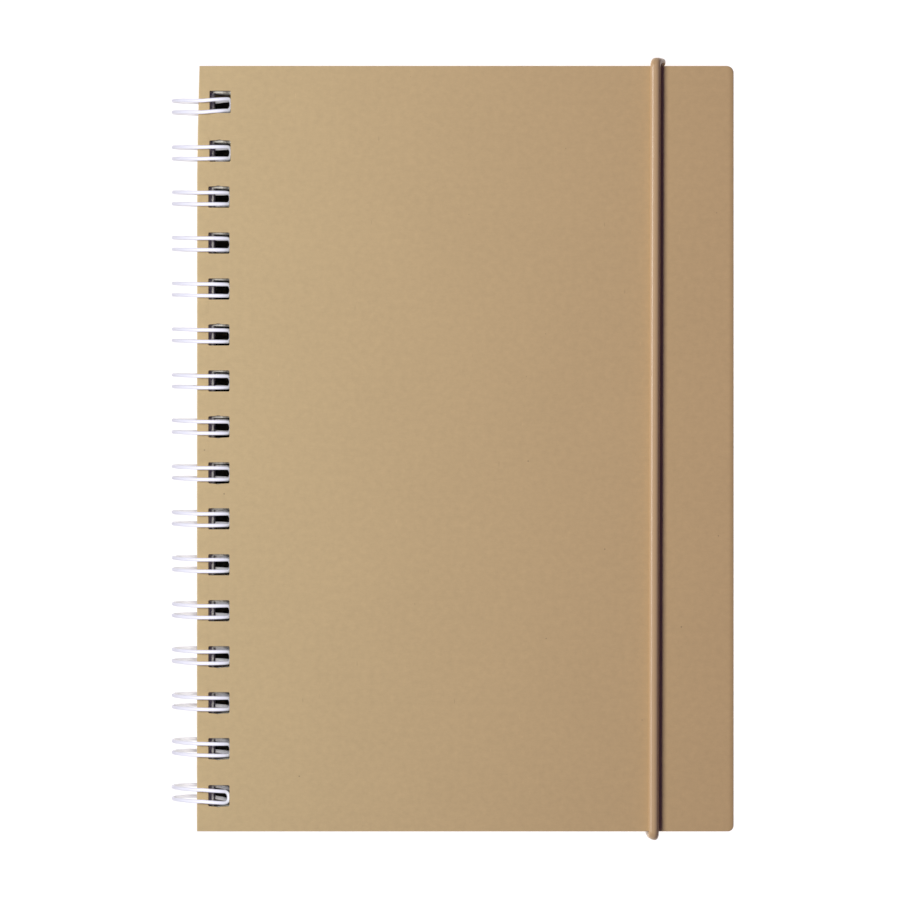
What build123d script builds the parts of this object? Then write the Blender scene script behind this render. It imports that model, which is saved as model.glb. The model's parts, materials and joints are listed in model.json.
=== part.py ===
from build123d import *
import os
from math import asin, atan2, cos, degrees, hypot, sin, sqrt

# A wire-bound A5 notebook with an elastic closure, lying on its back cover. Millimetres.
# Each piece is built around the binding wire's axis, which runs along Y, and is moved to its
# place on the table when it is written. +X is the fore edge, +Y the top, +Z the front cover.

# --- Covers: two boards, alike in outline --------------------------------------------------
cover_width = 148.3
cover_height = 211.5
board_thickness = 1.6
cover_corner_radius = 2.3      # at the two fore-edge corners, the spine corners are square
board_edge_round = 0.2

# --- Pages ---------------------------------------------------------------------------------
page_block_thickness = 8.7     # about 85 sheets
page_fore_inset = 3.2          # pages inside the front cover's fore edge
page_end_inset = 2.5           # pages inside the covers' top and bottom edges
page_corner_radius = 2.0
page_cover_gap = 0.3           # first page to the front cover
seam_relief = 0.4              # first page to the wire's seam, which dents the pages
seam_relief_near = 2.6         # how far the dent slopes towards the spine
seam_relief_far = 12.0         # and towards the fore edge

# --- Punched holes, one row along the spine of every sheet -----------------------------------
hole_pitch = 12.7              # two loops to the inch
hole_width = 5.8
hole_margin = 3.2              # a cover's spine edge to its holes
page_hole_margin = 2.55        # the same in the pages, which are trimmed closer at the spine
hole_drop = 0.35               # middle of the row of holes below the middle of its sheet
hole_end_margin = 3.0          # least paper left past the first and last hole
front_hole_slack = 0.6         # far side of a hole to the wire, front cover
hole_slack = 0.2               # the same in the pages and the back cover

# --- Twin wire -------------------------------------------------------------------------------
wire_diameter = 1.05
finger_spacing = 3.2           # between the two wires of one finger
finger_clearance = 0.775       # beside a finger in its hole
wire_slip = 0.2                # wire below the middle of the covers' holes
page_slip = 0.8                # pages below the covers
ring_cover_gap = 0.45          # inside of the rings to the front cover's face
tip_below_cover = 2.0          # middle of a finger's tip under the front cover's inner face
root_bend_radius = 1.2         # where a finger turns into the wire that joins it to the next
join_cover_gap = 0.27          # joining wire to the front cover's inner face
end_stub = 1.2                 # the cut ends of the wire, past the first and last finger

# --- Elastic cord ------------------------------------------------------------------------------
cord_diameter = 2.4
cord_clearance = 0.3
cord_fore_inset = 21.9         # middle of the cord to the front cover's fore edge
cord_lean = 0.55               # its top end lies this much nearer the fore edge than its bottom end
cord_hole_inset = 48.0         # the back cover's top or bottom edge to the cord's hole

# --- Metal clips crimped on the cord's two ends --------------------------------------------------
clip_length = 11.0
clip_width = 3.6
clip_thickness = 0.6
clip_page_gap = 0.3
collar_wall = 0.35
collar_slack = 0.15            # collar to its hole in the back cover
collar_depth = 1.1
crimp_fit = 0.02               # cord to collar

# The two covers swing round the wire's axis, so they lie at different distances from it, and
# the front cover can pass outside the back cover when it is folded over.
cover_pass_gap = 0.3

# --- Sizes that follow -----------------------------------------------------------------------------
wire_radius = wire_diameter / 2
cord_radius = cord_diameter / 2
hole_height = finger_spacing + wire_diameter + 2 * finger_clearance

stack = page_cover_gap + page_block_thickness + clip_page_gap + clip_thickness
back_inner = (stack - board_thickness - cover_pass_gap) / 2
back_outer = back_inner + board_thickness
front_inner = stack - back_inner
front_outer = front_inner + board_thickness
page_top = front_inner - page_cover_gap
page_bottom = page_top - page_block_thickness

ring_inner_radius = front_outer + ring_cover_gap
ring_outer_radius = ring_inner_radius + wire_diameter
ring_radius = ring_inner_radius + wire_radius


def hole_far_side(height, slack):
    """Distance from the wire's axis to the far side of the holes in a sheet at this height."""
    return sqrt(ring_outer_radius**2 - height**2) + slack


front_holes_end = hole_far_side(front_inner, front_hole_slack)
back_holes_end = hole_far_side(back_inner, hole_slack)
page_holes_end = hole_far_side(0, hole_slack)

front_spine = front_holes_end - hole_width - hole_margin
back_spine = back_holes_end - hole_width - hole_margin
page_spine = page_holes_end - hole_width - page_hole_margin
front_fore = front_spine + cover_width
back_fore = back_spine + cover_width
page_width = front_fore - page_fore_inset - page_spine
page_height = cover_height - 2 * page_end_inset

hole_count = int((page_height - 2 * hole_end_margin - hole_height) // hole_pitch) + 1
hole_places = [(i - (hole_count - 1) / 2) * hole_pitch for i in range(hole_count)]

cord_x = front_fore - cord_fore_inset
cord_hole_y = cover_height / 2 - cord_hole_inset
cord_hole_radius = cord_radius + crimp_fit + collar_wall + collar_slack

# The seam of the wire. A finger's tip lies on the ring, at an angle from the fore edge up. Its
# root leaves the ring at the fore edge, and stands straight up to the joining wire.
tip_radius = finger_spacing / 2
tip_height = front_inner - tip_below_cover
tip_angle = asin(tip_height / hypot(ring_radius, tip_radius))
finger_end = tip_angle + atan2(tip_radius, ring_radius)
finger_reach = tip_radius + root_bend_radius
join_x = ring_radius
join_z = front_inner - join_cover_gap - wire_radius
root_rise = join_z - root_bend_radius


def radial(angle):
    return Vector(cos(angle), 0, sin(angle))


def along(angle):
    return Vector(-sin(angle), 0, cos(angle))


def wire_section(angle, y):
    """The wire's round section where it crosses this angle of the ring."""
    place = radial(angle) * ring_radius + Vector(0, y, 0)
    return Plane(origin=place, x_dir=(0, 1, 0), z_dir=along(angle)) * Circle(wire_radius)


# --- Covers ------------------------------------------------------------------------------------------
def sheet(spine, width, height, corner_radius):
    """A sheet's outline: square at the spine, rounded at the fore edge."""
    outline = Rectangle(width, height)
    outline = fillet(outline.vertices().sort_by(Axis.X)[-2:], corner_radius)
    return Pos(spine + width / 2) * outline


def punch(holes_end, low, high):
    """The row of holes, as the solids to cut away."""
    x = holes_end - hole_width / 2
    holes = [Pos(x, place - hole_drop) * Rectangle(hole_width, hole_height) for place in hole_places]
    return Pos(0, 0, low) * extrude(Sketch() + holes, high - low)


def cover(spine, holes_end, low):
    outline = sheet(spine, cover_width, cover_height, cover_corner_radius)
    board = Pos(0, 0, low) * extrude(outline, board_thickness)
    board = fillet(board.faces().filter_by(Axis.Z).edges(), board_edge_round)
    return board - punch(holes_end, low, low + board_thickness)


front_cover = cover(front_spine, front_holes_end, front_inner)

back_cover = cover(back_spine, back_holes_end, -back_outer)
for side in (1, -1):
    cord_hole = Pos(cord_x + side * cord_lean / 2, side * cord_hole_y, -back_outer)
    back_cover -= cord_hole * extrude(Circle(cord_hole_radius), board_thickness)


# --- Pages -------------------------------------------------------------------------------------------
# The wire that joins the fingers lies between the front cover and the first page, so the pages
# are dented along it.
dent_floor = join_z - wire_radius - seam_relief
dent_near = join_x - wire_radius - seam_relief
dent_far = join_x + wire_radius + seam_relief


def dent_slope(low_x, high_x):
    middle = (low_x + high_x) / 2
    low_end = [(low_x, 0, dent_floor), (middle, 0, dent_floor)]
    high_end = [(middle, 0, page_top), (high_x, 0, page_top)]
    return Bezier(*low_end, *high_end)


dent_start = dent_near - seam_relief_near
dent_stop = dent_far + seam_relief_far
dent_outline = Curve() + [
    dent_slope(dent_near, dent_start),
    Line((dent_near, 0, dent_floor), (dent_far, 0, dent_floor)),
    dent_slope(dent_far, dent_stop),
    Line((dent_start, 0, page_top), (dent_stop, 0, page_top)),
]
dent = extrude(make_face(dent_outline), page_height / 2, dir=(0, 1, 0), both=True)

page_sheet = sheet(page_spine, page_width, page_height, page_corner_radius)
page_block = Pos(0, 0, page_bottom) * extrude(page_sheet, page_block_thickness)
page_block -= punch(page_holes_end, page_bottom, page_top)
page_block -= dent
page_block = Pos(0, -page_slip) * page_block


# --- Twin wire ---------------------------------------------------------------------------------------
# One wire all the way: up a finger, round its tip and down again, then along to the next finger.
# Every bend is a piece of a torus, and the pieces meet at whole round sections.
def finger():
    axis = Axis((0, 0, 0), (0, -1, 0))
    tip_axis = Axis(radial(finger_end) * ring_radius, radial(finger_end) * -1)
    pieces = [revolve(wire_section(finger_end, tip_radius), tip_axis, 180)]
    for side in (1, -1):
        leg = revolve(wire_section(finger_end, side * tip_radius), axis, 360 - degrees(finger_end))
        foot = wire_section(0, side * tip_radius)
        bend_axis = Axis((join_x, side * finger_reach, root_rise), (-side, 0, 0))
        bend = revolve(Pos(0, 0, root_rise) * foot, bend_axis, 90)
        pieces += [leg, extrude(foot, root_rise), bend]
    return Part() + pieces


def joining_wire(start, end):
    run = Plane(origin=(join_x, start, join_z), z_dir=(0, 1, 0))
    return extrude(run * Circle(wire_radius), end - start)


one_finger = finger()
twin_wire = Part() + [Pos(0, place) * one_finger for place in hole_places]
joins = [joining_wire(a + finger_reach, b - finger_reach) for a, b in zip(hole_places, hole_places[1:])]
first, last = hole_places[0] - finger_reach, hole_places[-1] + finger_reach
joins += [joining_wire(first - end_stub, first), joining_wire(last, last + end_stub)]
twin_wire = Pos(0, -hole_drop - wire_slip) * (twin_wire + joins)


# --- Elastic cord --------------------------------------------------------------------------------------
# From its clip inside the back cover it goes out through the board, round the top edge, down the
# front cover, round the bottom edge and in again through the board.
cord_bend_radius = cord_radius + cord_clearance
cord_end_y = cover_height / 2 + cord_bend_radius
cord_front_z = front_outer + cord_bend_radius
cord_back_z = -back_outer - cord_bend_radius
top_x = cord_x + cord_lean / 2
bottom_x = cord_x - cord_lean / 2
cord_points = [
    (top_x, cord_hole_y, -back_inner),
    (top_x, cord_hole_y, cord_back_z),
    (top_x, cord_end_y, cord_back_z),
    (top_x, cord_end_y, cord_front_z),
    (bottom_x, -cord_end_y, cord_front_z),
    (bottom_x, -cord_end_y, cord_back_z),
    (bottom_x, -cord_hole_y, cord_back_z),
    (bottom_x, -cord_hole_y, -back_inner),
]
cord_line = FilletPolyline(*cord_points, radius=cord_bend_radius)
cord_section = Plane(origin=cord_line @ 0, z_dir=cord_line % 0) * Circle(cord_radius)
elastic_cord = sweep(cord_section, path=cord_line)
print(f"elastic cord: {cord_line.length:.1f} mm long, every bend {cord_bend_radius:.2f} mm")


# --- Clips -----------------------------------------------------------------------------------------------
# A flat bar inside the back cover, too long to pull through, with a collar crimped on the cord.
def cord_clip(x, y):
    bar = extrude(SlotOverall(clip_length, clip_width), clip_thickness)
    outer = extrude(Circle(cord_radius + crimp_fit + collar_wall), -collar_depth)
    collar = outer - extrude(Circle(cord_radius + crimp_fit), -collar_depth)
    return Pos(x, y, -back_inner) * (bar + collar)


nodes = {
    "front_cover": front_cover,
    "back_cover": back_cover,
    "page_block": page_block,
    "twin_wire": twin_wire,
    "elastic_cord": elastic_cord,
    "cord_clip_top": cord_clip(top_x, cord_hole_y),
    "cord_clip_bottom": cord_clip(bottom_x, -cord_hole_y),
}

# On the table: the rings' lowest point at height zero, and the origin under the middle.
to_table = Pos((ring_outer_radius - back_fore) / 2, 0, ring_outer_radius)
print(f"wire's axis at x {to_table.position.X:.4f}, z {to_table.position.Z:.4f} mm")

os.makedirs("parts", exist_ok=True)
for name, shape in nodes.items():
    export_step(to_table * shape, f"parts/{name}.step")
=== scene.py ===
import bpy
import bmesh
import json
import random
from math import asin, atan2, ceil, cos, degrees, hypot, pi, radians, sin
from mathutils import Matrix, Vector


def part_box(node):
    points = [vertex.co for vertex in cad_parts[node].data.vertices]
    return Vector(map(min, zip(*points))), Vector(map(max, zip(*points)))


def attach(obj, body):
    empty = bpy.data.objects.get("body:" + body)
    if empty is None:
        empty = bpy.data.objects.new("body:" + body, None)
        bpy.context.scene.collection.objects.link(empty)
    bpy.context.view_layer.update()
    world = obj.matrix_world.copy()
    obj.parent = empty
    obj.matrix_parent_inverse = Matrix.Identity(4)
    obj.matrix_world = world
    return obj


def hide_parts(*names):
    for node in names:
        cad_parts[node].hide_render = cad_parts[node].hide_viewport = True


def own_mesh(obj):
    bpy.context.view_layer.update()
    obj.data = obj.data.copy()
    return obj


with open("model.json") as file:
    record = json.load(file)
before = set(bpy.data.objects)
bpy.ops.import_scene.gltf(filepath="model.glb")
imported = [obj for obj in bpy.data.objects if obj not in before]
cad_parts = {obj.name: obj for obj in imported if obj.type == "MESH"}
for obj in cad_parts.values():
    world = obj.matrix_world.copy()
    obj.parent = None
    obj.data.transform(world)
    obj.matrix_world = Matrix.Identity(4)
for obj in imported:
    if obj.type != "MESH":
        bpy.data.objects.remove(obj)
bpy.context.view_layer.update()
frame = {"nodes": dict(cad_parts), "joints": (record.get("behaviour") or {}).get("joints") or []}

# An A5 notebook: two kraft boards and a block of pages, punched along the spine, bound by one
# white twin wire and held shut by a round elastic. The sections follow the order in which it is
# made up. Lengths are in metres, and mm makes them readable.
mm = 0.001
chance = random.Random(5)


# === Kraft boards ============================================================================
# The covers are brown kraft board, 1.6 mm thick: pressed recycled fibre, faced and backed with
# unbleached kraft paper. Each is cut to size by a guillotine, which softens the edges, and has
# its row of square holes punched from the face side.
hole_pitch = 12.7 * mm
hole_count = 16
hole_width = 5.8 * mm
hole_height = 5.8 * mm
cover_hole_margin = 3.2 * mm    # a cover's spine edge to its holes
hole_drop = 0.35 * mm           # the row of holes below the middle of its sheet
hole_rows = [(i - (hole_count - 1) / 2) * hole_pitch - hole_drop for i in range(hole_count)]
board_corners = (1.6 * mm, 1.9 * mm)    # at the fore edge: bottom, top
board_edge_round = 0.24 * mm
punch_edge_round = 0.11 * mm
punch_corner = 0.30 * mm
back_board_short = 0.35 * mm    # of its nominal width, at the fore edge
nick_width = 1.8 * mm           # of the small notches that a worn punch leaves
nick_depth = 0.26 * mm
binding_strip = 12 * mm         # from the spine edge, and all the square holes lie in it


class Flow:
    """One socket of a material's nodes. It adds and multiplies as a number does."""

    def __init__(self, tree, socket):
        self.tree = tree
        self.socket = socket

    def node(self, kind, settings=None, sockets=None, output=0):
        """Makes a node, sets it up, feeds its sockets with numbers or Flows, and gives one output."""
        made = self.tree.nodes.new("ShaderNode" + kind)
        for name, value in (settings or {}).items():
            setattr(made, name, value)
        for name, value in (sockets or {}).items():
            if isinstance(value, Flow):
                self.tree.links.new(value.socket, made.inputs[name])
            else:
                made.inputs[name].default_value = value
        return Flow(self.tree, made.outputs[output])

    def math(self, operation, *others):
        values = dict(enumerate([self, *others]))
        return self.node("Math", {"operation": operation}, values)

    def __add__(self, other):
        return self.math("ADD", other)

    def __mul__(self, other):
        return self.math("MULTIPLY", other)

    def __sub__(self, other):
        return self.math("SUBTRACT", other)

    def __rsub__(self, other):
        return (self * -1) + other

    def __truediv__(self, other):
        return self.math("DIVIDE", other)

    __radd__ = __add__
    __rmul__ = __mul__

    def between(self, low, high):
        """0 below low, 1 above high, with a soft step from one to the other."""
        names = {"Value": self, "From Min": low, "From Max": high}
        return self.node("MapRange", {"interpolation_type": "SMOOTHSTEP"}, names)

    def stretched(self, size, turn=0.0):
        """The coordinates turned about Z and scaled by size, for a grain that runs one way."""
        sockets = {"Vector": self, "Rotation": (0, 0, radians(turn)), "Scale": size}
        return self.node("Mapping", {"vector_type": "POINT"}, sockets)

    def noise(self, scale, detail=2.0, roughness=0.5):
        sockets = {"Vector": self, "Scale": scale, "Detail": detail, "Roughness": roughness}
        return self.node("TexNoise", {}, sockets)

    def cells(self, scale, output="Distance"):
        """Voronoi cells: the distance to the nearest cell's middle, or the cell's own colour."""
        return self.node("TexVoronoi", {"feature": "F1"}, {"Vector": self, "Scale": scale}, output)

    def mixed(self, low, high):
        """A colour from low to high, as self goes from 0 to 1."""
        settings = {"data_type": "RGBA", "blend_type": "MIX"}
        return self.node("Mix", settings, {0: self, 6: low, 7: high}, output=2)

    def tinted(self, colour):
        """The colour made lighter or darker by self, which is 1 where nothing changes."""
        grey = self.node("CombineColor", {}, {0: self, 1: self, 2: self})
        settings = {"data_type": "RGBA", "blend_type": "MULTIPLY"}
        return self.node("Mix", settings, {0: 1.0, 6: colour, 7: grey}, output=2)

    def raised(self, height, strength=1.0):
        """A normal for a relief whose height, in metres, is self times height."""
        return self.node("Bump", {}, {"Height": self * height, "Distance": 1.0, "Strength": strength})


def new_finish(name):
    """An empty material, its coordinates in millimetres as a Flow, and its surface shader."""
    material = bpy.data.materials.new(name)
    material.use_nodes = True
    tree = material.node_tree
    shader = tree.nodes["Principled BSDF"]
    start = Flow(tree, None).node("TexCoord", output="Object")
    place = start.node("VectorMath", {"operation": "SCALE"}, {0: start, "Scale": 1000.0})
    return material, place, shader


def finish_with(place, shader, **values):
    """Feeds the shader: numbers and plain colours are set, Flows are linked."""
    names = {"colour": "Base Color", "roughness": "Roughness", "normal": "Normal",
             "specular": "Specular IOR Level", "metallic": "Metallic"}
    for key, value in values.items():
        socket = shader.inputs[names[key]]
        if isinstance(value, Flow):
            place.tree.links.new(value.socket, socket)
        else:
            socket.default_value = value


def kraft_paper():
    material, place, shader = new_finish("kraft_paper")
    clouds = place.noise(0.045, 2)
    mottle = place.noise(0.55, 4, 0.62)
    grit = place.noise(5.5, 3, 0.7)
    fibre_a = place.stretched((0.55, 4.2, 1), 24).noise(1.0, 2, 0.6)
    fibre_b = place.stretched((0.5, 4.6, 1), -47).noise(1.0, 2, 0.6)
    fibre_c = place.stretched((0.6, 4.0, 1), 83).noise(1.0, 2, 0.6)
    fibres = fibre_a.math("MAXIMUM", fibre_b).math("MAXIMUM", fibre_c)
    # Bits of bark: a few dark specks, and thin slivers lying every way.
    lot = place.node("SeparateColor", {}, {0: place.cells(0.19, "Color")})
    speck_size = lot.between(0.62, 1.0) * 0.045 + 0.008
    specks = 1 - (place.cells(0.19) / speck_size).between(0.55, 1.0)
    slivers = 1 - place.stretched((1.0, 0.16, 1), 31).cells(0.21).between(0.012, 0.034)
    pale = 1 - place.stretched((1.0, 0.13, 1), -38).cells(0.27).between(0.012, 0.04)
    shade = (1 + (clouds - 0.5) * 0.05 + (mottle - 0.5) * 0.20 + (grit - 0.5) * 0.20
             + (fibres - 0.62) * 0.12 - specks * 0.42 - slivers * 0.20 + pale * 0.10)
    # Painted shade: the paper is a little yellower and lighter at the spine, and redder and darker
    # towards the fore edge, for the light falling off across the board.
    across = place.node("SeparateXYZ", {}, {0: place})
    painted_falloff = (across + 71) / 148
    paper = painted_falloff.mixed((0.484, 0.368, 0.180, 1), (0.468, 0.315, 0.148, 1))
    relief = (fibres * 0.5 + grit * 0.5).raised(0.05 * mm, 0.55)
    finish_with(place, shader, colour=shade.tinted(paper), roughness=0.62 + (grit - 0.5) * 0.12,
                normal=relief, specular=0.5)
    return material


def board_core(name, colour):
    material, place, shader = new_finish(name)
    layers = place.stretched((0.05, 0.05, 7.0)).noise(1.0, 4, 0.7)
    crumbs = place.noise(3.2, 3, 0.7)
    shade = 1 + (layers - 0.5) * 0.30 + (crumbs - 0.5) * 0.25
    finish_with(place, shader, colour=shade.tinted(colour), roughness=0.85,
                normal=(layers + crumbs).raised(0.06 * mm, 0.7), specular=0.3)
    return material


def arc(x, y, radius, start, turn, steps):
    """Points round part of a circle, angles in degrees."""
    angles = [radians(start + turn * i / steps) for i in range(steps + 1)]
    return [(x + radius * cos(a), y + radius * sin(a)) for a in angles]


def sheet_outline(low, high, corners, spine_cut=()):
    """A sheet seen from above, anticlockwise: square at the spine, rounded at the fore edge.
    spine_cut holds extra points down the spine edge."""
    bottom_r, top_r = corners
    bottom = arc(high.x - bottom_r, low.y + bottom_r, bottom_r, -90, 90, 8)
    top = arc(high.x - top_r, high.y - top_r, top_r, 0, 90, 8)
    return [(low.x, low.y), *bottom, *top, *(spine_cut or [(low.x, high.y)])]


def hole_outline(x, y, nicks=(), width=hole_width, height=hole_height):
    """One punched hole, clockwise, so that the sheet lies on its left as in an outline.
    nicks holds 1 for a notch in its top edge, -1 for one in its bottom edge."""
    w, h = width / 2 - punch_corner, height / 2 - punch_corner
    points = []
    for side_x, side_y, start in ((-1, -1, 270), (-1, 1, 180), (1, 1, 90), (1, -1, 0)):
        points += arc(x + side_x * w, y + side_y * h, punch_corner, start, -90, 3)
        if side_x != side_y and side_y in nicks:
            for i in range(1, 8):
                along = (i / 4 - 1) * nick_width / 2
                depth = nick_depth * sin(pi * i / 8)
                points.append((x - 0.2 * mm + side_y * along, y + side_y * (height / 2 + depth)))
    return points


def moved_in(points, inset):
    """The closed line moved to its left by inset, along the bisector of each corner."""
    moved = []
    for i, here in enumerate(points):
        before, after = Vector(points[i - 1]), Vector(points[(i + 1) % len(points)])
        one = (Vector(here) - before).normalized()
        two = (after - Vector(here)).normalized()
        bisector = Vector((-one.y - two.y, one.x + two.x)).normalized()
        share = max(0.5, bisector.dot(Vector((-one.y, one.x))))
        moved.append(Vector(here) + bisector * (inset / share))
    return moved


def wall_up(mesh, outline, levels):
    """Rings of points up one outline, joined into a wall. A level is (height, inset, shift).
    Gives the edges of the lowest and the highest ring."""
    rings = []
    for height, inset, shift in levels:
        ring = [mesh.verts.new((p.x + shift.x, p.y + shift.y, height)) for p in moved_in(outline, inset)]
        rings.append(ring)
    for lower, upper in zip(rings, rings[1:]):
        for i in range(len(lower)):
            j = (i + 1) % len(lower)
            mesh.faces.new((lower[i], lower[j], upper[j], upper[i]))
    ends = []
    for ring in (rings[0], rings[-1]):
        ends.append([mesh.edges.get((ring[i - 1], ring[i])) for i in range(len(ring))])
    return ends


def punched_sheet(name, walls):
    """A closed mesh from walls round a sheet and round its holes, each (outline, levels)."""
    mesh = bmesh.new()
    ends = [wall_up(mesh, outline, levels) for outline, levels in walls]
    for which in (0, 1):
        edges = [edge for wall in ends for edge in wall[which]]
        bmesh.ops.triangle_fill(mesh, use_beauty=True, use_dissolve=False, edges=edges)
    bmesh.ops.recalc_face_normals(mesh, faces=mesh.faces)
    data = bpy.data.meshes.new(name)
    mesh.to_mesh(data)
    mesh.free()
    piece = bpy.data.objects.new(name, data)
    bpy.context.collection.objects.link(piece)
    return piece


def rounded_levels(low, high, radius, steps=4):
    """Levels up a board's edge, rounded at the bottom and at the top."""
    turns = [pi / 2 * i / steps for i in range(steps + 1)]
    up = [(low + radius * (1 - sin(t)), radius * (1 - cos(t)), Vector((0, 0))) for t in reversed(turns)]
    down = [(high - radius * (1 - sin(t)), radius * (1 - cos(t)), Vector((0, 0))) for t in turns]
    return up + down


def kraft_board(node, spine_cut=(), rows_off=None, nicks=None):
    """The walls of a board: its outline, and its sixteen square holes. rows_off and nicks tell
    which holes, counted from the bottom, are out of line or notched."""
    low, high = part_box(node)
    if node == "back_cover":
        high.x -= back_board_short
    rows_off, nicks = rows_off or {}, nicks or {}
    x = low.x + cover_hole_margin + hole_width / 2
    levels = rounded_levels(low.z, high.z, board_edge_round)
    levels += [(high.z, inset, Vector((0, 0))) for inset in (0.6 * mm, 1.0 * mm, 1.5 * mm)]
    walls = [(sheet_outline(low, high, board_corners, spine_cut), levels)]
    for i, y in enumerate(hole_rows):
        off_x, off_y, taller = rows_off.get(i, (0, 0, 0))
        outline = hole_outline(x + off_x, y + off_y, nicks.get(i, ()), height=hole_height + taller)
        walls.append((outline, rounded_levels(low.z, high.z, punch_edge_round, 2)))
    return walls


def press_fore_edge(piece, node, width=1.5 * mm, depth=0.24 * mm):
    """The guillotine comes down on the face, so the fore edge is pressed a little thinner."""
    low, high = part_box(node)
    for vertex in piece.data.vertices:
        near = 1 - (high.x - vertex.co.x) / width
        if near > 0:
            share = (vertex.co.z - low.z) / (high.z - low.z)
            vertex.co.z -= near * near * depth * share


def shade_by_angle(piece, limit=40):
    """Smooth shading, with the flat faces kept flat, and sharp where faces meet at an angle."""
    for polygon in piece.data.polygons:
        polygon.use_smooth = True
    piece.data.set_sharp_from_angle(angle=radians(limit))
    flat = piece.modifiers.new("flat_faces", "WEIGHTED_NORMAL")
    flat.keep_sharp = True
    graph = bpy.context.evaluated_depsgraph_get()
    data = bpy.data.meshes.new_from_object(piece.evaluated_get(graph), depsgraph=graph,
                                           preserve_all_data_layers=True)
    piece.modifiers.remove(flat)
    piece.data = data


kraft_face = kraft_paper()
cut_core = board_core("board_core", (0.46, 0.34, 0.20, 1))
# Painted shade: a near-black core for the walls of the board holes, for the shade down in them.
hole_wall_shade = board_core("hole_wall_shade", (0.062, 0.050, 0.058, 1))


def in_hole_row(place, low, high):
    """Whether a place on a sheet lies among the square holes, and not at the sheet's own edge."""
    edge = 1 * mm
    return low.x + edge < place.x < low.x + binding_strip and low.y + edge < place.y < high.y - edge


def finished_board(name, node, body, walls):
    """The board with paper on its faces and bare core on its cut edges. The walls of its holes get
    a near-black painted shade, which stands for the shade down in them. It rides on its body."""
    piece = punched_sheet(name, walls)
    for material in (kraft_face, cut_core, hole_wall_shade):
        piece.data.materials.append(material)
    low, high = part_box(node)
    for polygon in piece.data.polygons:
        if abs(polygon.normal.z) < 0.25:
            polygon.material_index = 2 if in_hole_row(polygon.center, low, high) else 1
    if node == "front_cover":
        press_fore_edge(piece, node)
    shade_by_angle(piece)
    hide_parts(node)
    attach(piece, body)
    return piece


# The front board's spine edge was cut a little out of square near its top, and the punch was
# out of line at its two end holes and has worn, so that it nicks some of them.
front_low, front_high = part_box("front_cover")
out_of_square = [
    (front_low.x + 0.70 * mm, front_high.y),
    (front_low.x + 0.30 * mm, front_high.y - 16 * mm),
    (front_low.x + 0.05 * mm, front_high.y - 30 * mm),
]
# For a hole that is out of line: how far to the fore edge, how far up, and how much taller.
end_holes_off = {15: (0.32 * mm, 0.90 * mm, 0.30 * mm), 14: (0.28 * mm, 0, 0), 0: (0, -0.30 * mm, 0)}
nicked = {14: (1,), 13: (1,), 10: (1,), 8: (1, -1), 7: (-1,), 3: (-1,), 2: (-1,), 1: (-1,), 0: (-1,)}
front_walls = kraft_board("front_cover", out_of_square, end_holes_off, nicked)
finished_board("front_board", "front_cover", "front_cover", front_walls)

# The back board also has two round holes, where the elastic's ends go through.
cord_hole_radius = 1.72 * mm
back_low, back_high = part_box("back_cover")
back_walls = kraft_board("back_cover")
for clip in ("cord_clip_top", "cord_clip_bottom"):
    clip_low, clip_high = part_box(clip)
    middle = (clip_low + clip_high) / 2
    round_hole = arc(middle.x, middle.y, cord_hole_radius, 0, -345, 23)
    back_walls.append((round_hole, rounded_levels(back_low.z, back_high.z, punch_edge_round, 2)))
finished_board("back_board", "back_cover", "back_cover", back_walls)


# === Pages ===================================================================================
# About 85 leaves of plain cream paper, trimmed, punched and stacked. The leaves are not quite
# in line, so the cut edges show as fine layers, and the wire's seam presses a dent in the top.
leaf_count = 85
leaf_gap_share = 0.22           # of a leaf's share of the height
leaf_groove = 0.035 * mm
leaf_stray = 0.09 * mm
leaf_stray_limit = 0.20 * mm
leaf_stray_to_spine = 0.07 * mm # and no more, because the back board swings past there
page_corners = (1.6 * mm, 1.6 * mm)
page_hole_margin = 2.10 * mm
page_hole_width = 6.25 * mm     # a little wider than the covers' holes
page_holes_up = 0.52 * mm
seam_clearance = 0.35 * mm
dent_half = 0.9 * mm            # half of the dent's floor, and then its two slopes
dent_spine_slope = 2.1 * mm
dent_fore_slope = 12 * mm
shade_start = 0.45 * mm         # below the top leaf, where the painted shade on the walls of the holes starts
shade_fade = 0.8 * mm

page_low, page_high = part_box("page_block")
wire_low, wire_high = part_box("twin_wire")
wire_axis = Vector(frame["joints"][0]["pos_m"])
page_slip = (page_low.y + page_high.y) / 2
wire_slip = (wire_low.y + wire_high.y) / 2 + hole_drop


def leaf_levels(low, high):
    levels = []
    step = (high - low) / leaf_count
    for i in range(leaf_count):
        stray = Vector((chance.gauss(0, leaf_stray), chance.gauss(0, leaf_stray) * 0.7))
        stray.x = max(-leaf_stray_to_spine, min(leaf_stray_limit, stray.x))
        stray.y = max(-leaf_stray_limit, min(leaf_stray_limit, stray.y))
        bottom = low + i * step
        top = bottom + step * (1 - leaf_gap_share)
        levels.append((bottom, 0, stray))
        levels.append((top, 0, stray))
        if i < leaf_count - 1:
            levels.append((top + step * leaf_gap_share / 2, leaf_groove, stray))
    return levels


def page_paper():
    material, place, shader = new_finish("page_paper")
    leaf = place.node("Attribute", {"attribute_name": "leaf"}, output="Fac")
    depth = place.node("Attribute", {"attribute_name": "hole_shade_depth"}, output="Fac")
    pulp = place.noise(1.6, 4, 0.6)
    fine = place.noise(9.0, 2, 0.6)
    shade = 1 + (leaf - 0.5) * 0.10 + (pulp - 0.5) * 0.035 + (fine - 0.5) * 0.03
    # Painted shade: the leaves darken down in the holes, for the deep shade between them.
    shade = shade * (1 - depth * 0.9)
    finish_with(place, shader, colour=shade.tinted((0.77, 0.75, 0.65, 1)), roughness=0.8,
                normal=fine.raised(0.02 * mm, 0.5), specular=0.3)
    return material


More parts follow.
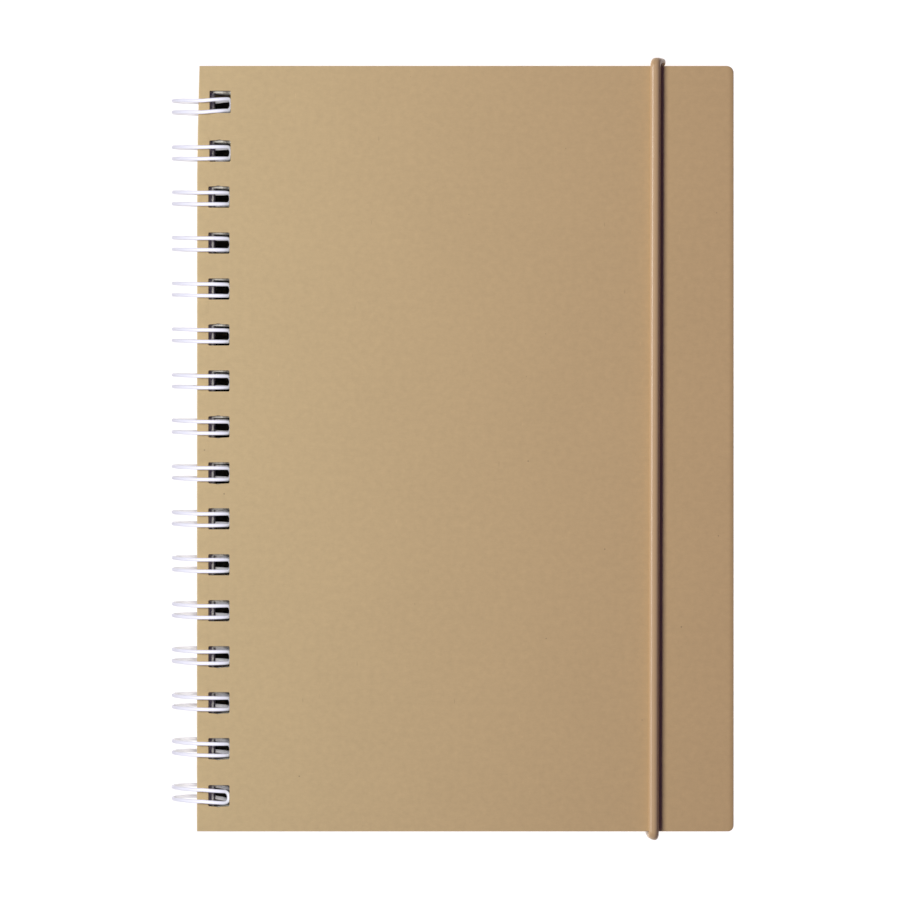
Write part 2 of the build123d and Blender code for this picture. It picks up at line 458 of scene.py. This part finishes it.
def page_stack():
    levels = leaf_levels(page_low.z, page_high.z)
    walls = [(sheet_outline(page_low, page_high, page_corners), levels)]
    x = page_low.x + page_hole_margin + page_hole_width / 2
    for i, y in enumerate(hole_rows):
        up = page_holes_up + (end_holes_off[i][1] if i in end_holes_off else 0)
        walls.append((hole_outline(x, y + page_slip + up, width=page_hole_width), levels))
    return punched_sheet("page_stack", walls)


pages = page_stack()
pages.data.materials.append(page_paper())


# The seam of the wire: where it lies over the first page, worked out as for the wire below.
wire_radius = 0.525 * mm
finger_spacing = 3.2 * mm
root_bend = 1.2 * mm
ring_radius = (wire_high.z - wire_low.z) / 2 - wire_radius
tip_bend = finger_spacing / 2
tip_below_cover = 2.0 * mm
tip_height = front_low.z - tip_below_cover - wire_axis.z
tip_angle = asin(tip_height / hypot(ring_radius, tip_bend))
finger_end = tip_angle + atan2(tip_bend, ring_radius)
seam_x = wire_axis.x + ring_radius
seam_below_cover = 0.27 * mm
seam_z = front_low.z - seam_below_cover - wire_radius
root_rise = seam_z - root_bend - wire_axis.z


def press_seam(piece):
    """Cuts the top face into strips along the seam, and presses them down with the leaves below."""
    floor = seam_z - wire_radius - seam_clearance
    near, far = seam_x - dent_half, seam_x + dent_half
    mesh = bmesh.new()
    mesh.from_mesh(piece.data)
    for step in (-3.0, -2.2, -1.6, -1.2, -0.9, 0.9, 1.8, 3.2, 5.0, 7.2, 9.8, 13.0):
        plane = (seam_x + step * mm, 0, 0)
        everything = mesh.verts[:] + mesh.edges[:] + mesh.faces[:]
        bmesh.ops.bisect_plane(mesh, geom=everything, plane_co=plane, plane_no=(1, 0, 0))
    for vertex in mesh.verts:
        x = vertex.co.x
        slope = (near - x) / dent_spine_slope if x < near else max(0, x - far) / dent_fore_slope
        pressed = 1 - min(1, max(0, slope))
        pressed = pressed * pressed * (3 - 2 * pressed)
        depth = (vertex.co.z - page_low.z) / (page_high.z - page_low.z)
        vertex.co.z -= pressed * depth * (page_high.z - floor)
    mesh.to_mesh(piece.data)
    mesh.free()


press_seam(pages)
leaf_tone = pages.data.attributes.new("leaf", "FLOAT", "FACE")
hole_shade_depth = pages.data.attributes.new("hole_shade_depth", "FLOAT", "FACE")
tones = [chance.random() for _ in range(leaf_count + 1)]
for polygon in pages.data.polygons:
    if abs(polygon.normal.z) > 0.7:
        leaf_tone.data[polygon.index].value = 0.5
        continue
    share = (polygon.center.z - page_low.z) / (page_high.z - page_low.z)
    leaf_tone.data[polygon.index].value = tones[int(share * leaf_count)]
    # Painted shade: the walls of the holes get darker the deeper they lie below the top leaf.
    if in_hole_row(polygon.center, page_low, page_high):
        below = page_high.z - polygon.center.z
        hole_shade_depth.data[polygon.index].value = min(1, max(0, (below - shade_start) / shade_fade))
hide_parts("page_block")
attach(pages, "book_block")


# === Twin wire ===============================================================================
# One length of steel wire coated in white nylon, bent into sixteen hairpin fingers, and rolled
# round through the holes until the fingers' tips meet the wire's other edge under the cover.
tips_drawn_back = {0: -1.5, 1: -1.0, 15: 7.5}   # degrees, where a finger's tip shows in its hole
rings_askew = {0: 0.10, 1: 0.035, 2: 0.02, 13: -0.02, 14: -0.03, 15: -0.088}
rings_moved = {0: -0.25 * mm, 1: -0.33 * mm, 2: -0.18 * mm, 3: -0.09 * mm}
ring_lean = 0.5 * mm            # of the back of each ring towards the top
lean_start = 100                # degrees round the ring, where its back starts to lean
root_hold = 30                  # degrees, over which its root holds it straight


def coated_wire():
    material, place, shader = new_finish("white_nylon")
    haze = place.noise(0.7, 3)
    skin = place.noise(6.0, 2)
    shade = 1 + (haze - 0.5) * 0.03
    finish_with(place, shader, colour=shade.tinted((0.84, 0.84, 0.88, 1)),
                roughness=0.34 + (skin - 0.5) * 0.1, normal=skin.raised(0.012 * mm, 0.4),
                specular=0.5)
    return material


def ring_point(angle, y):
    return Vector((wire_axis.x + ring_radius * cos(angle), y, wire_axis.z + ring_radius * sin(angle)))


def along_ring(angle):
    return Vector((-sin(angle), 0, cos(angle)))


def finger_route(number, y):
    """One finger's line: in from the last root, up and over, round the tip, back, and out."""
    tip_at = finger_end + radians(tips_drawn_back.get(number, 0) + chance.uniform(-0.4, 0.4))
    askew = rings_askew.get(number, 0.0) + chance.uniform(-0.006, 0.006)
    sway = chance.uniform(-0.06, 0.06) * mm + rings_moved.get(number, 0)

    def askew_at(point, angle):
        """Where a point of the ring really is: the fore part of the ring stands a little askew in
        its holes, its back leans to the top, and its root stays in line with the others."""
        held = min(1, max(0, (360 - degrees(angle)) / root_hold))
        back = min(1, max(0, (degrees(angle) - lean_start) / (360 - lean_start)))
        aside = askew * max(0, point.x - wire_axis.x) + sway
        return point + Vector((0, aside * held + ring_lean * sin(pi * back), 0))

    def leg(side, steps=64):
        foot = ring_point(0, y + side * tip_bend)
        points = [foot + Vector((0, 0, root_rise * i / 3)) for i in (3, 2, 1)]
        for i in range(steps + 1):
            angle = 2 * pi + (tip_at - 2 * pi) * i / steps
            points.append(askew_at(ring_point(angle, y + side * tip_bend), angle))
        return points

    def root(side, steps=6):
        middle = ring_point(0, y + side * (tip_bend + root_bend)) + Vector((0, 0, root_rise))
        turns = [pi / 2 * i / steps for i in range(steps)]
        return [middle + Vector((0, -side * root_bend * sin(t), root_bend * cos(t))) for t in turns]

    tip = []
    for i in range(1, 12):
        t = pi * i / 12
        point = ring_point(tip_at, y - tip_bend * cos(t)) - along_ring(tip_at) * tip_bend * sin(t)
        tip.append(askew_at(point, tip_at))
    return root(-1) + leg(-1) + tip + leg(1)[::-1] + root(1)[::-1]


def wire_line():
    """The whole wire's line, as one open curve from cut end to cut end."""
    route = []
    for number, row in enumerate(reversed(hole_rows)):
        route += finger_route(number, row + wire_slip)[::-1]
    first, last = route[0], route[-1]
    stub = Vector((0, 1.2 * mm, 0))
    route = [first + stub, *route, last - stub]
    data = bpy.data.curves.new("wire_line", "CURVE")
    data.dimensions = "3D"
    spline = data.splines.new("POLY")
    spline.points.add(len(route) - 1)
    for point, place in zip(spline.points, route):
        point.co = (*place, 1)
    line = bpy.data.objects.new("wire_line", data)
    bpy.context.collection.objects.link(line)
    return line


def round_wire_tree(material):
    """Geometry nodes that give a line its round, coated thickness."""
    tree = bpy.data.node_groups.new("round_wire", "GeometryNodeTree")
    tree.interface.new_socket("Line", in_out="INPUT", socket_type="NodeSocketGeometry")
    radius = tree.interface.new_socket("Radius", in_out="INPUT", socket_type="NodeSocketFloat")
    tree.interface.new_socket("Wire", in_out="OUTPUT", socket_type="NodeSocketGeometry")
    nodes, links = tree.nodes, tree.links
    start, end = nodes.new("NodeGroupInput"), nodes.new("NodeGroupOutput")
    section = nodes.new("GeometryNodeCurvePrimitiveCircle")
    section.inputs["Resolution"].default_value = 14
    sweep = nodes.new("GeometryNodeCurveToMesh")
    sweep.inputs["Fill Caps"].default_value = True
    smooth = nodes.new("GeometryNodeSetShadeSmooth")
    whole = nodes.new("GeometryNodeRealizeInstances")
    painted = nodes.new("GeometryNodeSetMaterial")
    painted.inputs["Material"].default_value = material
    links.new(start.outputs["Radius"], section.inputs["Radius"])
    links.new(start.outputs["Line"], sweep.inputs["Curve"])
    links.new(section.outputs["Curve"], sweep.inputs["Profile Curve"])
    links.new(sweep.outputs["Mesh"], smooth.inputs["Geometry"])
    links.new(smooth.outputs["Geometry"], whole.inputs["Geometry"])
    links.new(whole.outputs["Geometry"], painted.inputs["Geometry"])
    links.new(painted.outputs["Geometry"], end.inputs["Wire"])
    return tree, radius.identifier


def made_plain(source, name):
    """The evaluated object as a plain mesh piece at the origin, with the source removed."""
    graph = bpy.context.evaluated_depsgraph_get()
    data = bpy.data.meshes.new_from_object(source.evaluated_get(graph))
    bpy.data.objects.remove(source)
    piece = bpy.data.objects.new(name, data)
    bpy.context.collection.objects.link(piece)
    return piece


line = wire_line()
tree, radius_socket = round_wire_tree(coated_wire())
modifier = line.modifiers.new("round_wire", "NODES")
modifier.node_group = tree
modifier[radius_socket] = wire_radius
wire = made_plain(line, "binding_wire")
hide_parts("twin_wire")
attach(wire, "book_block")


# === Clips ===================================================================================
# Two flat steel bars inside the back board, each with a collar crimped on an end of the elastic.
# They are pressed from strip, so their faces have a fine grain along the bar.
def strip_steel():
    material, place, shader = new_finish("strip_steel")
    grain = place.stretched((0.6, 9, 9)).noise(1.0, 3, 0.6)
    marks = place.noise(0.8, 3)
    shade = 1 + (grain - 0.5) * 0.22 + (marks - 0.5) * 0.1
    finish_with(place, shader, colour=shade.tinted((0.62, 0.60, 0.57, 1)), metallic=1.0,
                roughness=0.36 + (grain - 0.5) * 0.25, normal=grain.raised(0.01 * mm, 0.6))
    return material


steel = strip_steel()
for clip in ("cord_clip_top", "cord_clip_bottom"):
    for material_slot in frame["nodes"][clip].material_slots:
        material_slot.material = steel


# === Elastic =================================================================================
# A rubber core in a braided kraft-brown sleeve, 2.4 mm round when slack, and pressed wide and
# flat where it lies on the boards. It comes out through the back board, goes round the top edge,
# lies across the front and comes back round the bottom edge.
cord_width = 2.86 * mm
cord_thickness = 2.28 * mm
cord_squareness = 0.80          # 1 is an ellipse, less has a flatter top
cord_aside = 0.04 * mm          # of its clips, towards the fore edge
cord_rest = 0.02 * mm           # between the cord and the board that it lies on
cord_bend = cord_thickness / 2 + cord_rest
lean_top = 1.45 * mm            # how far it leans to the fore edge as it goes over the top edge
lean_bottom = -0.30 * mm
lean_drop = 3.6 * mm            # how far below the face it has leant over
top_clip = sum(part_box("cord_clip_top"), Vector()) / 2
bottom_clip = sum(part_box("cord_clip_bottom"), Vector()) / 2
top_x, bottom_x = top_clip.x + cord_aside, bottom_clip.x + cord_aside
front_z = front_high.z + cord_bend
back_z = back_low.z - cord_bend


def cord_corners():
    """The corners of the cord's line, each with the radius of its bend."""
    end_y = front_high.y + cord_bend
    return [
        (Vector((top_clip.x, top_clip.y, back_high.z - 0.2 * mm)), 0),
        (Vector((top_clip.x, top_clip.y, back_z)), 1.5 * mm),
        (Vector((top_x + lean_top, end_y, back_z)), cord_bend + 0.3 * mm),
        (Vector((top_x + lean_top, end_y, front_z - lean_drop)), 3.0 * mm),
        (Vector((top_x, end_y, front_z)), cord_bend + 0.1 * mm),
        (Vector((bottom_x, -end_y, front_z)), cord_bend + 0.1 * mm),
        (Vector((bottom_x + lean_bottom, -end_y, front_z - lean_drop)), 3.0 * mm),
        (Vector((bottom_x + lean_bottom, -end_y, back_z)), cord_bend + 0.3 * mm),
        (Vector((bottom_clip.x, bottom_clip.y, back_z)), 1.5 * mm),
        (Vector((bottom_clip.x, bottom_clip.y, back_high.z - 0.2 * mm)), 0),
    ]


def cord_line():
    """Close points down the cord's line: straight runs, and an arc at each corner."""
    corners = cord_corners()
    points = [corners[0][0]]
    for i in range(1, len(corners) - 1):
        corner, radius = corners[i]
        back = (corners[i - 1][0] - corner).normalized()
        on = (corners[i + 1][0] - corner).normalized()
        half = back.angle(on) / 2
        reach = radius / (sin(half) / cos(half))
        middle = corner + (back + on).normalized() * (radius / sin(half))
        start, stop = corner + back * reach, corner + on * reach
        for step in range(13):
            t = step / 12
            spoke = (start - middle).normalized().slerp((stop - middle).normalized(), t)
            points.append(middle + spoke * radius)
    points.append(corners[-1][0])
    line = [points[0]]
    for a, b in zip(points, points[1:]):
        pieces = max(1, ceil((b - a).length / (1.2 * mm)))
        line += [a.lerp(b, (i + 1) / pieces) for i in range(pieces)]
    return line


def braided_tube(name, line, around=32):
    """A tube along the line. Each point keeps its angle round the cord and its place along it."""

    def flattened(value, size):
        swollen = abs(value) ** cord_squareness
        return (swollen if value > 0 else -swollen) * size / 2

    mesh = bmesh.new()
    rings, marks = [], []
    across = Vector((1, 0, 0))
    travelled = 0.0
    for i, here in enumerate(line):
        before, after = line[max(0, i - 1)], line[min(len(line) - 1, i + 1)]
        ahead = (after - before).normalized()
        across = (across - ahead * across.dot(ahead)).normalized()
        up = ahead.cross(across)
        travelled += (here - before).length
        ring = []
        for k in range(around):
            angle = 2 * pi * k / around
            aside = across * flattened(cos(angle), cord_width)
            above = up * flattened(sin(angle), cord_thickness)
            ring.append(mesh.verts.new(here + aside + above))
            marks.append((cos(angle), sin(angle), travelled / mm))
        rings.append(ring)
    for lower, upper in zip(rings, rings[1:]):
        for k in range(around):
            j = (k + 1) % around
            mesh.faces.new((lower[k], lower[j], upper[j], upper[k]))
    mesh.faces.new(rings[0])
    mesh.faces.new(rings[-1][::-1])
    bmesh.ops.recalc_face_normals(mesh, faces=mesh.faces)
    data = bpy.data.meshes.new(name)
    mesh.to_mesh(data)
    mesh.free()
    sleeve = data.attributes.new("sleeve", "FLOAT_VECTOR", "POINT")
    for vertex, mark in enumerate(marks):
        sleeve.data[vertex].vector = mark
    tube = bpy.data.objects.new(name, data)
    bpy.context.collection.objects.link(tube)
    shade_by_angle(tube, 60)
    return tube


def braided_sleeve():
    material, place, shader = new_finish("braided_sleeve")
    sleeve = place.node("Attribute", {"attribute_name": "sleeve"}, output="Vector")
    parts = [place.node("SeparateXYZ", {}, {0: sleeve}, output=i) for i in range(3)]
    angle = parts[1].math("ARCTAN2", parts[0])
    yarns = 12
    lay = parts[2] * 14.0           # how far the yarns have turned at a place along the cord
    one = (angle * yarns + lay).math("SINE")
    two = (angle * yarns - lay).math("SINE")
    braid = one * two * 0.5 + 0.5
    fuzz = place.noise(4.0, 3, 0.6)
    shade = 1 + (braid - 0.5) * 0.22 + (fuzz - 0.5) * 0.14
    finish_with(place, shader, colour=shade.tinted((0.495, 0.338, 0.180, 1)),
                roughness=0.24 + (braid - 0.5) * 0.1,
                normal=(braid * 0.8 + fuzz * 0.2).raised(0.06 * mm, 0.3), specular=0.30)
    return material


elastic = braided_tube("elastic_loop", cord_line())
elastic.data.materials.append(braided_sleeve())
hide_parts("elastic_cord")
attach(elastic, "back_cover")
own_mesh(elastic)


# === Table, light and camera =================================================================
# The notebook lies on a white table. A soft box stands at its spine side, a little towards the
# top, and the camera looks straight down from above the middle of the cover.
cover_middle = (front_low + front_high) / 2

floor_data = bpy.data.meshes.new("table_top")
reach = 2.5
floor_corners = [(-reach, -reach, 0), (reach, -reach, 0), (reach, reach, 0), (-reach, reach, 0)]
floor_data.from_pydata(floor_corners, [], [(0, 1, 2, 3)])
table_top = bpy.data.objects.new("table_top", floor_data)
bpy.context.collection.objects.link(table_top)
white, place, shader = new_finish("table_white")
evenness = place.noise(0.01, 2) * 0.01 + 0.995
finish_with(place, shader, colour=evenness.tinted((0.92, 0.92, 0.92, 1)), roughness=0.7,
            specular=0.2)
table_top.data.materials.append(white)


# Painted shade: a narrow strip of black card under the row of holes, which stands for the deep
# shade seen down through them and keeps the light out of them.
card_data = bpy.data.meshes.new("hole_shade_card")
card_low = Vector((back_low.x + 2.2 * mm, back_low.y + 4 * mm, 0.1 * mm))
card_high = Vector((back_low.x + 10.5 * mm, back_high.y - 4 * mm, 0.1 * mm))
card_corners = [card_low, (card_high.x, card_low.y, card_low.z),
                card_high, (card_low.x, card_high.y, card_low.z)]
card_data.from_pydata(card_corners, [], [(0, 1, 2, 3)])
hole_shade_card = bpy.data.objects.new("hole_shade_card", card_data)
bpy.context.collection.objects.link(hole_shade_card)
black, place, shader = new_finish("card_black")
evenness = place.noise(2.0, 2) * 0.4 + 0.8
finish_with(place, shader, colour=evenness.tinted((0.02, 0.02, 0.022, 1)), roughness=0.9,
            specular=0.1)
card_data.materials.append(black)


def soft_box(name, azimuth, elevation, distance, size, power, colour, only=(), but=()):
    """A square area light that looks at the cover's middle. Azimuth 0 is at +X, 90 at +Y.
    It may light only some objects, or all but some. Gives the lamp."""
    light = bpy.data.lights.new(name, "AREA")
    light.size = size
    light.energy = power
    light.color = colour
    lamp = bpy.data.objects.new(name, light)
    bpy.context.collection.objects.link(lamp)
    a, e = radians(azimuth), radians(elevation)
    direction = Vector((cos(e) * cos(a), cos(e) * sin(a), sin(e)))
    lamp.location = cover_middle + direction * distance
    lamp.rotation_euler = direction.to_track_quat("Z", "Y").to_euler()
    if only or but:
        group = bpy.data.collections.new(name + "_lights")
        for piece in only or but:
            group.objects.link(piece)
        for member in group.collection_objects:
            member.light_linking.link_state = "INCLUDE" if only else "EXCLUDE"
        lamp.light_linking.receiver_collection = group
    return lamp


# The key light leaves out the pieces that have lights of their own: the wire and the table,
# whose white it would burn out, and the elastic, whose glint comes from lower down.
warm_white = (1.0, 0.985, 0.965)
cool_white = (0.97, 0.98, 1.0)
soft_box("key_light", 168, 53, 1.05, 0.46, 13.4, warm_white, but=(wire, elastic, table_top))
cord_light = soft_box("cord_light", 168, 53, 1.05, 0.46, 5.2, warm_white, only=(elastic,))
cord_light.visible_glossy = False
soft_box("cord_glint", 174, 35, 1.05, 0.46, 8.0, warm_white, only=(elastic,))
soft_box("table_light", 0, 90, 1.6, 1.4, 11.0, (1, 1, 1), only=(table_top,))
table_glow = soft_box("table_glow", 0, 90, 1.6, 1.4, 27.0, (1, 1, 0.97), only=(table_top,))
table_glow.data.use_shadow = False      # so that the table is white under the notebook too
soft_box("wire_light", 0, 90, 1.35, 0.40, 16.0, cool_white, only=(wire,))
soft_box("wire_light_top", 90, 50, 1.35, 0.40, 4.5, cool_white, only=(wire,))
soft_box("wire_light_bottom", -90, 50, 1.35, 0.40, 4.5, cool_white, only=(wire,))

# A dim violet fill from all round, which tints the shadows.
world = bpy.data.worlds.new("studio")
world.use_nodes = True
world.node_tree.nodes["Background"].inputs["Color"].default_value = (0.50, 0.36, 1.0, 1)
world.node_tree.nodes["Background"].inputs["Strength"].default_value = 0.15
bpy.context.scene.world = world
bpy.context.scene.view_settings.view_transform = "Standard"

camera_height = 1.55            # above the front board
seen_width = 248.1 * mm         # across the view, at the front board
sensor_width = 36               # in millimetres, as the lens is
camera_data = bpy.data.cameras.new("camera")
camera_data.sensor_width = sensor_width
camera_data.lens = sensor_width * camera_height / seen_width
camera_data.clip_end = 20
camera = bpy.data.objects.new("camera", camera_data)
camera.location = (cover_middle.x - 4.50 * mm, -0.10 * mm, front_high.z + camera_height)
bpy.context.collection.objects.link(camera)
bpy.context.scene.camera = camera
